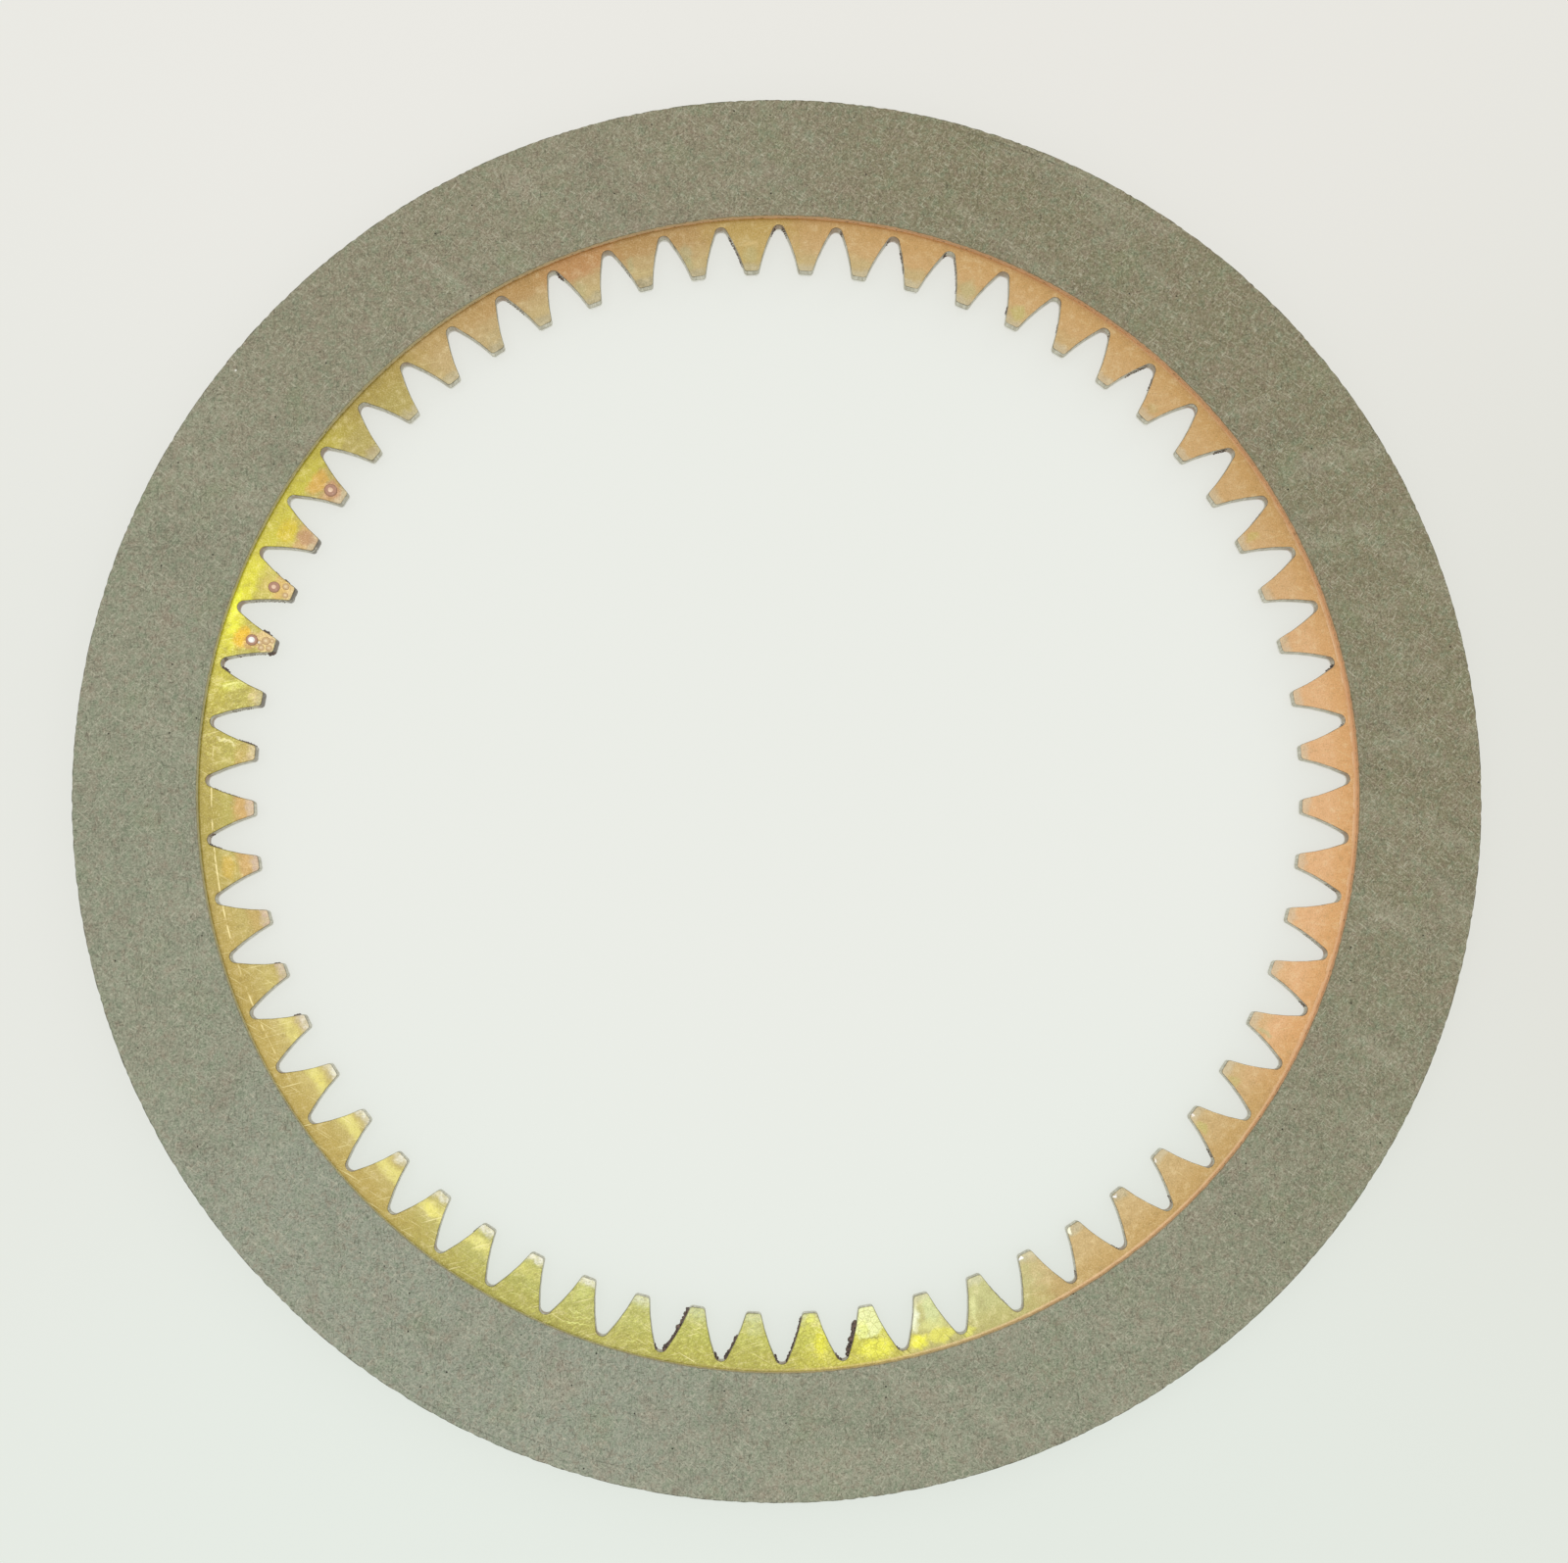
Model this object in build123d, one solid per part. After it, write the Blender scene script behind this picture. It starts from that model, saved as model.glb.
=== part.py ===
from build123d import *
import math
import os

# Wet clutch disc, lying flat: a stamped steel core plate with internal involute
# teeth, and a ring of friction paper bonded to each of its faces.
# Millimetres, +Z up along the disc's axis. The origin is on the axis, in the
# plane of the lower friction face, and a tooth space is centred on +X.

# ---- driving sizes --------------------------------------------------------

# internal spline that slides over the hub's teeth
tooth_count = 60
module = 2.54               # 10 diametral pitch
pressure_angle = 20.0       # degrees
addendum = 3.2              # pitch circle to tooth tips
root_round = 0.87           # the full radius that closes each tooth space
tip_round = 0.5             # corners of the tooth tips

# core plate
core_thickness = 2.4
root_land = 1.0             # bare steel between the tooth roots and the facings

# friction facings
facing_width = 17.15        # radial
facing_thickness = 1.0
rim_overhang = 0.2          # the facings reach past the core plate's rim by this

# ---- derived sizes --------------------------------------------------------

pitch_radius = module * tooth_count / 2
base_radius = pitch_radius * math.cos(math.radians(pressure_angle))
tip_radius = pitch_radius - addendum
tooth_pitch_angle = 2 * math.pi / tooth_count


def involute(tangent):
    """Involute function of the angle whose tangent is given, in radians."""
    return tangent - math.atan(tangent)


def tangent_of_involute(value):
    """Inverse of involute(), by Newton's method."""
    tangent = (3 * value) ** (1 / 3)
    for _ in range(12):
        slope = tangent**2 / (1 + tangent**2)
        tangent -= (involute(tangent) - value) / slope
    return tangent


# Half of a tooth space, as an angle, where its flanks reach the base circle.
base_half_space = tooth_pitch_angle / 4 + involute(math.tan(math.radians(pressure_angle)))

# The root circle of a space is centred on its middle line and touches both
# flanks. An involute moved sideways is the same involute turned, so the centre
# lies where the turned flank meets the middle line.
root_centre_run = base_radius * tangent_of_involute(base_half_space - root_round / base_radius)
root_radius = math.hypot(base_radius, root_centre_run) + root_round

facing_inner_radius = root_radius + root_land
facing_outer_radius = facing_inner_radius + facing_width
core_outer_radius = facing_outer_radius - rim_overhang


# ---- tooth outline --------------------------------------------------------
# A point of a flank is named by its run, the length of the flank's normal from
# the base circle to that point.

def polar(radius, angle):
    """Point at a radius and an angle from +X."""
    return Vector(radius * math.cos(angle), radius * math.sin(angle))


def flank_angle(run):
    """Angle from +X, the middle of the space, to a point of the flank."""
    return base_half_space - involute(run / base_radius)


def flank_point(run):
    """Point of the flank."""
    return polar(math.hypot(base_radius, run), flank_angle(run))


def flank_direction(run):
    """Direction of the flank there, away from the axis."""
    return polar(1, flank_angle(run) - math.atan(run / base_radius))


def tip_corner():
    """Rounded tip corner, the straight part behind it if any, and the flank's first run.

    A flank is radial below the base circle, so there the corner meets a straight part.
    """
    centre_radius = tip_radius + tip_round
    if math.hypot(base_radius, tip_round) > centre_radius:
        first_run = 0.0
        centre_angle = base_half_space + math.asin(tip_round / centre_radius)
        touch = polar(math.sqrt(centre_radius**2 - tip_round**2), base_half_space)
        straight = [Line(touch, flank_point(0))]
    else:
        centre_run = math.sqrt(centre_radius**2 - base_radius**2)
        first_run = centre_run - tip_round
        centre_angle = flank_angle(centre_run) + tip_round / base_radius
        touch = flank_point(first_run)
        straight = []
    centre = polar(centre_radius, centre_angle)
    land_end = polar(tip_radius, centre_angle)
    outward = ((touch + land_end) / 2 - centre).normalized()
    return ThreePointArc(land_end, centre + outward * tip_round, touch), straight, first_run


def tooth_pitch_edges():
    """One pitch of the outline: the space on +X and the land of the next tooth."""
    corner, straight, first_run = tip_corner()
    last_run = root_centre_run + root_round
    runs = [first_run, (first_run + last_run) / 2, last_run]
    flank = Spline(
        *[flank_point(run) for run in runs],
        tangents=[flank_direction(first_run), flank_direction(last_run)],
    )
    one_side = [corner, *straight, flank]
    other_side = [edge.mirror(Plane.XZ) for edge in one_side]
    root_end = flank @ 1
    root = ThreePointArc(Vector(root_end.X, -root_end.Y), polar(root_radius, 0), root_end)
    land_end = corner @ 0
    next_land_end = Vector(land_end.X, -land_end.Y).rotate(Axis.Z, math.degrees(tooth_pitch_angle))
    land = ThreePointArc(land_end, polar(tip_radius, tooth_pitch_angle / 2), next_land_end)
    return [*one_side, root, *other_side, land]


def tooth_outline():
    """Closed outline of the whole internal spline."""
    pitch_edges = tooth_pitch_edges()
    step = math.degrees(tooth_pitch_angle)
    return Wire([edge.rotate(Axis.Z, step * index) for index in range(tooth_count) for edge in pitch_edges])


# ---- pieces ---------------------------------------------------------------

def core_plate():
    """Stamped ring with the internal spline through it."""
    blank = Face(Wire.make_circle(core_outer_radius), [tooth_outline()])
    return Pos(0, 0, facing_thickness) * extrude(blank, core_thickness)


def facing(base_z):
    """Friction-paper ring, its lower face at base_z."""
    face = Circle(facing_outer_radius) - Circle(facing_inner_radius)
    return Pos(0, 0, base_z) * extrude(face, facing_thickness)


pieces = {
    "core_plate": core_plate(),
    "lower_facing": facing(0),
    "upper_facing": facing(facing_thickness + core_thickness),
}

os.makedirs("parts", exist_ok=True)
for name, piece in pieces.items():
    export_step(piece, f"parts/{name}.step")
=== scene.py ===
"""Wet clutch disc: a stamped steel plate with internal teeth, lined with friction paper on both faces."""

import logging
import math
import random
from dataclasses import dataclass
from enum import Enum
from typing import Any

import bmesh
import bpy
from mathutils import Matrix, Vector


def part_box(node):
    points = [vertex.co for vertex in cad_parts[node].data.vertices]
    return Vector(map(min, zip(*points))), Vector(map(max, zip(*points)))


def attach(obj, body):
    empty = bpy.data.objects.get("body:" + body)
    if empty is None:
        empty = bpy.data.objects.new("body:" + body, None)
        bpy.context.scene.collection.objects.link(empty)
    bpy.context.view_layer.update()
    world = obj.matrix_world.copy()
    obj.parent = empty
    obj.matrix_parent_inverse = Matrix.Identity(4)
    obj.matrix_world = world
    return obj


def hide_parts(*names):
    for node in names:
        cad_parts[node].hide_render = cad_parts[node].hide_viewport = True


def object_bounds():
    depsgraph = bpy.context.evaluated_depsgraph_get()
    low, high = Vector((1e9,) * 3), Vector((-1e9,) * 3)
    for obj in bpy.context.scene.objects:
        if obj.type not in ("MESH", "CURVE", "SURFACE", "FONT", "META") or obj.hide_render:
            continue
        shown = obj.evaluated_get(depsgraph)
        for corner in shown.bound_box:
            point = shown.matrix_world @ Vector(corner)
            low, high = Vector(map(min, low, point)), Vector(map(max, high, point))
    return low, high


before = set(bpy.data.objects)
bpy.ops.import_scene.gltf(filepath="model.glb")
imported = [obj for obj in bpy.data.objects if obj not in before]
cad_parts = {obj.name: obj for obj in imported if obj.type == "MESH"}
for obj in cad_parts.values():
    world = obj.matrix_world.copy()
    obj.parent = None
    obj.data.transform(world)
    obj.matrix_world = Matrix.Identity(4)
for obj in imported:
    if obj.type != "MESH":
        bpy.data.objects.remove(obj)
CAD_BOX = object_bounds()

MM = 0.001
PLATE = "core_plate"
TOOTH_COUNT = 60
TOOTH_STEP = 360 / TOOTH_COUNT      # degrees; a tooth space is centred on +X
TEETH_END = 85.0 * MM               # the teeth lie nearer the axis than this, and the plate's rim does not
LEVEL = 0.999                       # least height of a normal of a level face
SUNK = 0.01 * MM                    # how far a drop's foot goes into the steel
RING_STEPS = 1080                   # steps round a ring that is spun

Socket = bpy.types.NodeSocket
Material = bpy.types.Material
Piece = bpy.types.Object
Form = bmesh.types.BMesh
Vert = bmesh.types.BMVert
Links = dict[Any, Any]
Pair = tuple[float, float]

log = logging.getLogger("clutch_disc")


class Side(Enum):
    """The two sides of the disc."""

    UPPER = 1
    LOWER = -1


class Flank(Enum):
    """The two walls of a tooth space, as seen from its middle line."""

    AHEAD = 1       # at the larger bearing
    BEHIND = -1     # at the smaller one


# ---- small helpers --------------------------------------------------------

def linear(hex_colour: str) -> tuple[float, float, float, float]:
    """Turn an sRGB hex colour into a linear one.

    Args:
        hex_colour: Six hex digits.

    Returns:
        Linear red, green and blue, and an alpha of 1.
    """
    values = [int(hex_colour[i : i + 2], 16) / 255 for i in (0, 2, 4)]
    return (*[v / 12.92 if v <= 0.04045 else ((v + 0.055) / 1.055) ** 2.4 for v in values], 1.0)


def add_node(
    tree: bpy.types.NodeTree, kind: str, *inputs: Any, links: Links | None = None, **settings: Any
) -> bpy.types.Node:
    """Add a node with its settings and links.

    Args:
        tree: The node tree that gets the node.
        kind: The node's type, without the ShaderNode prefix.
        inputs: What its first inputs take, in order: an output socket or a value each.
        links: What its other inputs take, by name or index.
        settings: Properties of the node itself.

    Returns:
        The new node.
    """
    node = tree.nodes.new(f"ShaderNode{kind}")
    for name, value in settings.items():
        setattr(node, name, value)
    for key, value in (dict(enumerate(inputs)) | (links or {})).items():
        if isinstance(value, bpy.types.NodeSocket):
            tree.links.new(value, node.inputs[key])
        else:
            node.inputs[key].default_value = value
    return node


def make_piece(
    name: str, form: Form, materials: list[Material], crease: float, flats: bool = True
) -> Piece:
    """Turn a bmesh into a piece of the disc, shaded smooth apart from its sharp edges.

    Args:
        name: The piece's name.
        form: The finished bmesh, which is freed.
        materials: The piece's materials, in the order of its faces' indices.
        crease: Angle in degrees from which an edge between two faces is sharp.
        flats: Whether its level faces are left flat.

    Returns:
        The new piece, riding on the disc.
    """
    mesh = bpy.data.meshes.new(name)
    form.to_mesh(mesh)
    form.free()
    for material in materials:
        mesh.materials.append(material)
    mesh.shade_smooth()
    mesh.set_sharp_from_angle(angle=math.radians(crease))
    for polygon in mesh.polygons:
        if flats and abs(polygon.normal.z) > LEVEL:
            polygon.use_smooth = False
    piece = bpy.data.objects.new(name, mesh)
    bpy.context.collection.objects.link(piece)
    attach(piece, "root")
    return piece


def polar(radius: float, bearing: float, height: float = 0.0) -> Vector:
    """Point at a radius and a bearing in degrees from +X."""
    angle = math.radians(bearing)
    return Vector((radius * math.cos(angle), radius * math.sin(angle), height))


def ring_outer(node: str) -> float:
    """Outer radius of a CAD ring, as far as its faceted mesh reaches on every side."""
    low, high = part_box(node)
    return min(-low[0], -low[1], high[0], high[1])


def ring_inner(node: str) -> float:
    """Smallest distance from the axis to a vertex of a CAD ring."""
    return min(v.co.xy.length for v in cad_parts[node].data.vertices)


def spin_ring(points: list[Pair], edge_round: float = 0.0) -> Form:
    """Spin a section round the axis into a closed ring.

    Args:
        points: Radius and height of each corner of the section, in order.
        edge_round: Radius of the section's corners.

    Returns:
        The ring.
    """
    form = bmesh.new()
    corners = [form.verts.new((radius, 0, height)) for radius, height in points]
    for index, corner in enumerate(corners):
        form.edges.new((corner, corners[(index + 1) % len(corners)]))
    if edge_round:
        bmesh.ops.bevel(
            form, geom=corners, offset=edge_round, segments=2, profile=0.5, affect="VERTICES", material=-1
        )
    bmesh.ops.spin(
        form, geom=form.verts[:] + form.edges[:], axis=(0, 0, 1), cent=(0, 0, 0), angle=math.tau,
        steps=RING_STEPS, use_merge=True,
    )
    bmesh.ops.remove_doubles(form, verts=form.verts, dist=1e-7)
    bmesh.ops.recalc_face_normals(form, faces=form.faces)
    return form


def ring_step(vert: Vert) -> int:
    """Which step of a spun ring a vertex lies on."""
    return round(math.atan2(vert.co.y, vert.co.x) / math.tau * RING_STEPS) % RING_STEPS


def set_radius(vert: Vert, radius: float) -> None:
    """Move a vertex to another distance from the axis."""
    share = radius / vert.co.xy.length
    vert.co.x, vert.co.y = vert.co.x * share, vert.co.y * share


# ---- materials ------------------------------------------------------------

class Finish:
    """A material being made: its node tree, its colour so far, and coordinates on the disc."""

    FULL = 0.3      # share of a spread within which towards() gives one

    def __init__(self, name: str, colour: str) -> None:
        """Start the material.

        Args:
            name: The material's name.
            colour: Its first colour, as six hex digits.
        """
        self.material = bpy.data.materials.new(name)
        self.material.use_nodes = True
        self.tree = self.material.node_tree
        self.tree.nodes.clear()
        self.colour: Any = linear(colour)
        place = self.add("TexCoord", output="Object")
        self.mm = self.add("VectorMath", place, links={"Scale": 1 / MM}, operation="SCALE")
        self.plane = self.add("VectorMath", self.mm, (1, 1, 0), operation="MULTIPLY")
        self.unit = self.add("VectorMath", self.plane, operation="NORMALIZE")
        self.radius = self.add("VectorMath", self.plane, output="Value", operation="LENGTH")
        self.height = self.add("SeparateXYZ", self.mm, output=2)
        self.facing_up = self.add("SeparateXYZ", self.add("NewGeometry", output="True Normal"), output=2)

    def add(self, kind: str, *inputs: Any, output: int | str = 0, **details: Any) -> Socket:
        """Add a node to this tree, as add_node does, and return one of its outputs."""
        return add_node(self.tree, kind, *inputs, **details).outputs[output]

    def product(self, *factors: Any) -> Any:
        """Multiply factors.

        Args:
            factors: Sockets or numbers, the first of them a socket.

        Returns:
            The product's socket.
        """
        result = factors[0]
        for factor in factors[1:]:
            result = self.add("Math", result, factor, operation="MULTIPLY")
        return result

    def ramp(self, value: Any, low: float, high: float, to_high: float = 1.0, to_low: float = 0.0) -> Socket:
        """Map a range of a value smoothly to another range, and clamp it there.

        Args:
            value: The value's socket.
            low: Value that gives to_low.
            high: Value that gives to_high, more or less than low.
            to_high: Result at high.
            to_low: Result at low.

        Returns:
            The result's socket.
        """
        if low > high:
            low, high, to_low, to_high = high, low, to_high, to_low
        return self.add("MapRange", value, low, high, to_low, to_high, interpolation_type="SMOOTHSTEP")

    def apart(self, value: Socket, other: float) -> Socket:
        """Distance between a value and a number."""
        return self.add("Math", self.add("Math", value, other, operation="SUBTRACT"), operation="ABSOLUTE")

    def mix(self, factor: Any, first: Any, second: Any, blend: str = "MIX") -> Socket:
        """Mix two colours.

        Args:
            factor: Share of the second colour.
            first: First colour, a socket or six hex digits.
            second: Second colour.
            blend: The Mix node's blend type.

        Returns:
            The mixed colour's socket.
        """
        first = linear(first) if isinstance(first, str) else first
        second = linear(second) if isinstance(second, str) else second
        colours = {6: first, 7: second}
        return self.add("Mix", factor, links=colours, output=2, data_type="RGBA", blend_type=blend)

    def tint(self, colour: Any, *factors: Any) -> None:
        """Lay a colour over the colour so far, in the share that the factors multiply to."""
        self.colour = self.mix(self.product(*factors), self.colour, colour)

    def noise(self, size: float, seed: float, detail: float = 2.0, roughness: float = 0.5,
              place: Socket | None = None) -> Socket:
        """Noise around a half, whose largest features have a real size.

        Args:
            size: Size of the features in millimetres.
            seed: Place along a fourth axis, so that patterns differ.
            detail: Octaves of finer noise.
            roughness: Strength of the finer octaves.
            place: Coordinates in millimetres, in place of the plain ones.

        Returns:
            The noise's socket.
        """
        inputs = (place or self.mm, seed, 1 / size, detail, roughness)
        return self.add("TexNoise", *inputs, noise_dimensions="4D")

    def drawn(self, bearing: float, stretch: float) -> Socket:
        """Coordinates in which a pattern is drawn out along a direction.

        Args:
            bearing: The direction, in degrees from +X.
            stretch: Length of a feature over its width.

        Returns:
            The coordinates' socket.
        """
        links = {"Rotation": (0, 0, math.radians(bearing)), "Scale": (stretch, 1, 1)}
        return self.add("Mapping", self.mm, links=links, vector_type="TEXTURE")

    def towards(self, bearing: float, spread: float) -> Socket:
        """One along a bearing, and nothing beyond a spread either side of it.

        Args:
            bearing: Degrees from +X.
            spread: Degrees from there to nothing.

        Returns:
            The factor's socket.
        """
        dot = self.add("VectorMath", self.unit, polar(1, bearing), output="Value", operation="DOT_PRODUCT")
        return self.ramp(dot, math.cos(math.radians(spread)), math.cos(math.radians(spread * self.FULL)))

    def bump(self, height: Socket, depth: float) -> Socket:
        """Normal of a surface whose height runs from 0 to a depth in millimetres."""
        return self.add("Bump", links={"Height": height, "Distance": depth * MM, "Strength": 1.0})

    def close(self, **sockets: Any) -> Material:
        """Close the tree with a Principled shader that has the colour so far.

        Args:
            sockets: The shader's other inputs, with underscores for spaces.

        Returns:
            The finished material.
        """
        links = {name.replace("_", " "): value for name, value in sockets.items()}
        return self.surface(self.add("BsdfPrincipled", self.colour, links=links))

    def surface(self, shader: Socket) -> Material:
        """Put a shader on the surface, and return the finished material."""
        add_node(self.tree, "OutputMaterial", shader)
        return self.material


@dataclass(frozen=True)
class Scuff:
    """A rubbed arc on the paper."""

    bearing: float    # middle of the arc, in degrees from +X
    radius: float     # its distance from the axis, in millimetres
    spread: float     # degrees to either end
    width: float      # half its width in millimetres
    depth: float      # how dark it is


@dataclass(frozen=True)
class FrictionPaper:
    """Wet friction paper: cellulose and mineral fibre felt, soaked with phenolic resin and hot pressed.

    It is matt and porous. Felting leaves a fibrous grain and soft clouds, the
    press leaves a few scuffs, and the resin gives it an olive grey. Towards the
    left it is painted paler and cooler: painted light.
    """

    inner_radius: float
    outer_radius: float
    middle: float                 # height of the disc's middle plane
    face: float                   # distance from there to a friction face
    warm: str = "898266"
    pale: str = "928C74"
    painted_light_bearing: float = 132.0
    cool: str = "969984"
    coolest: str = "A2A99C"
    cool_light_bearing: float = 238.0
    fibre_width: float = 0.145    # bundles of fibres, drawn coarse so that they show
    cloud_size: float = 7.0       # clumps of the felt
    scuffs: tuple[Scuff, ...] = tuple(Scuff(*row) for row in (
        (69, 96.9, 5.0, 0.20, 0.55), (71, 95.9, 4.0, 0.30, 0.25), (251, 95.4, 9.0, 0.16, 0.40),
        (243, 97.0, 7.0, 0.16, 0.35), (122, 91.7, 2.2, 0.13, 0.60), (265, 94.6, 3.0, 0.14, 0.35),
        (356, 88.8, 1.6, 0.12, 0.45), (20, 87.0, 2.6, 0.12, 0.22), (200, 93.5, 4.0, 0.14, 0.20),
    ))

    def build(self) -> Material:
        """Make the material.

        Returns:
            The paper's material.
        """
        m = Finish("phenolic_friction_paper", self.warm)
        # Painted light: paler towards the upper left, and cooler towards the lower left.
        m.tint(self.pale, m.towards(self.painted_light_bearing, 60))
        m.tint(self.cool, m.towards(self.cool_light_bearing, 130))
        m.tint(self.coolest, m.towards(self.cool_light_bearing, 36), 0.45)
        height = self._felt(m)
        self._marks(m)
        self._cut_edges(m)
        return m.close(Roughness=0.88, IOR=1.5, Specular_IOR_Level=0.3, Normal=m.bump(height, 0.06))

    def _felt(self, m: Finish) -> Socket:
        """Cloud the felt, turn its hue a little from place to place, and lay short fibres every way.

        Args:
            m: The material being made.

        Returns:
            The felt's height.
        """
        clouds = m.noise(self.cloud_size, 1.7, 3.0, 0.55)
        m.tint("777462", m.ramp(clouds, 0.50, 0.72, 0.30))
        for bearing, seed in ((20, 4.1), (-38, 8.3)):
            m.tint("B4B09A", m.ramp(m.noise(3.4, seed, 1.0, 0.4, m.drawn(bearing, 5)), 0.52, 0.80, 0.30))
        hue = m.noise(5.5, 12.0)
        m.tint("86966C", m.ramp(hue, 0.54, 0.74, 0.22))
        m.tint("A08878", m.ramp(hue, 0.46, 0.26, 0.22))
        flecks = m.noise(1.0, 14.0, 2.0, 0.7)
        m.tint("96806F", m.ramp(flecks, 0.50, 0.68, 0.36))
        m.tint("7E9276", m.ramp(flecks, 0.50, 0.32, 0.36))
        grain = m.noise(self.fibre_width * 1.6, 2.2, 2.0, 0.8)
        m.tint("3F3C2E", m.ramp(grain, 0.50, 0.30, 0.55))
        m.tint("D3CFB9", m.ramp(grain, 0.50, 0.72, 0.50))
        for index, bearing in enumerate((8, 52, 97, 143)):
            strands = m.noise(self.fibre_width, 20.0 + index, 1.0, 0.5, m.drawn(bearing, 7))
            m.tint(("4A4738", "CCC8B2")[index % 2], m.ramp(strands, 0.58, 0.74, 0.45))
        return m.add("Math", clouds, 0.3, m.product(grain, 0.7), operation="MULTIPLY_ADD")

    def _marks(self, m: Finish) -> None:
        """Scatter dark specks of resin and a few white mineral ones, and rub a few arcs and creases.

        Args:
            m: The material being made.
        """
        resin, mineral = ("26231B", 1.7, 0.17, 0.20, 3.0), ("EFECE2", 5.0, 0.20, 0.12, 7.0)
        for speck, spacing, size, share, shift in (resin, mineral):
            place = m.add("VectorMath", m.mm, (shift, shift, 0), operation="ADD")
            distance = m.add("TexVoronoi", place, links={"Scale": 1 / spacing})
            near = m.ramp(distance, size / spacing, 0.4 * size / spacing)
            chance = m.add("SeparateColor", distance.node.outputs["Color"])
            m.tint(speck, near, m.add("Math", chance, share, operation="LESS_THAN"))
        ragged = m.ramp(m.noise(0.7, 31.0, 2.0, 0.7), 0.36, 0.60)
        for scuff in self.scuffs:
            line = m.ramp(m.apart(m.radius, scuff.radius), scuff.width, 0.0)
            m.tint("2F2C22", line, m.towards(scuff.bearing, scuff.spread), ragged, scuff.depth)

    def _cut_edges(self, m: Finish) -> None:
        """Soak the inner wall with adhesive and darken the frayed outer one.

        Args:
            m: The material being made.
        """
        wall = m.ramp(m.add("Math", m.facing_up, operation="ABSOLUTE"), 0.9, 0.4)
        inner = m.add("Math", m.radius, (self.inner_radius + self.outer_radius) / 2, operation="LESS_THAN")
        ragged = m.noise(0.5, 41.0, 2.0, 0.7)
        # The soaked colours are painted lighter than the soak itself, to make up for the shade on this wall:
        # painted light.
        soaked = m.mix(m.towards(12, 140), "D6D0A2", "EABC92")
        soaked = m.mix(m.ramp(ragged, 0.60, 0.72, 0.6), soaked, "5A4526")
        level = m.add("Math", ragged, 0.5, m.apart(m.height, self.middle), operation="MULTIPLY_ADD")
        soaked = m.mix(m.ramp(level, self.face + 0.06, self.face + 0.22, 0.8), soaked, "54462C")
        m.tint(soaked, wall, inner)
        m.tint("7A6A45", m.ramp(m.radius, self.inner_radius + 0.25, self.inner_radius), 0.30)
        frayed = m.mix(m.ramp(m.noise(0.4, 43.0, 2.0, 0.7), 0.40, 0.62), "8A8672", "2F2C22")
        m.tint(frayed, wall, m.add("Math", 1.0, inner, operation="SUBTRACT"))
        wander = m.add("Math", m.noise(0.6, 44.0, 2.0, 0.7), 0.5, m.radius, operation="MULTIPLY_ADD")
        m.tint("38352A", m.ramp(wander, self.outer_radius + 0.07, self.outer_radius + 0.26, 0.7))


@dataclass(frozen=True)
class Zone:
    """A stretch of the plate's teeth with its own film tint; in a few it is a painted highlight."""

    bearing: float           # middle of the stretch, in degrees from +X
    spread: float            # degrees from there to where the tint ends
    tint: str                # its colour
    strength: float = 1.0    # how much of it shows
    inner: float = 0.0       # radius from which it starts, in millimetres
    outer: float = 0.0       # radius at which it ends
    blur: float = 0.6        # how softly it starts and ends along the radius, in millimetres

    def factor(self, m: Finish) -> Socket:
        """Factor of this zone in a material.

        Args:
            m: The material being made.

        Returns:
            The factor's socket.
        """
        parts = [m.towards(self.bearing, self.spread), self.strength]
        if self.inner:
            parts.append(m.ramp(m.radius, self.inner - self.blur, self.inner + self.blur))
        if self.outer:
            parts.append(m.ramp(m.radius, self.outer + self.blur, self.outer - self.blur))
        return m.product(*parts)


@dataclass(frozen=True)
class FilmPatch:
    """A patch of colour on the plate's upper face: mostly a stain of the film, in a few a painted highlight.
    """

    bearing: float           # its middle, in degrees from +X
    radius: float            # its middle's distance from the axis, in millimetres
    across: float            # half its size across the tooth
    along: float             # half its size along the tooth
    tint: str                # its colour
    strength: float = 1.0    # how much of it shows
    lean: float = 0.0        # how far it is turned, in degrees
    core: float = 0.35       # share of its size that has the full colour

    def factor(self, m: Finish, place: Socket) -> Socket:
        """Factor of this stain in a material.

        Args:
            m: The material being made.
            place: Coordinates in millimetres, already made to wander.

        Returns:
            The factor's socket.
        """
        middle = polar(self.radius, self.bearing)
        turn = (0, 0, math.radians(self.bearing + self.lean))
        mapped = m.add("Mapping", place, middle, turn, (self.along, self.across, 1), vector_type="TEXTURE")
        away = m.add("VectorMath", mapped, output="Value", operation="LENGTH")
        return m.ramp(away, 1.0, self.core, self.strength)


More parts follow.
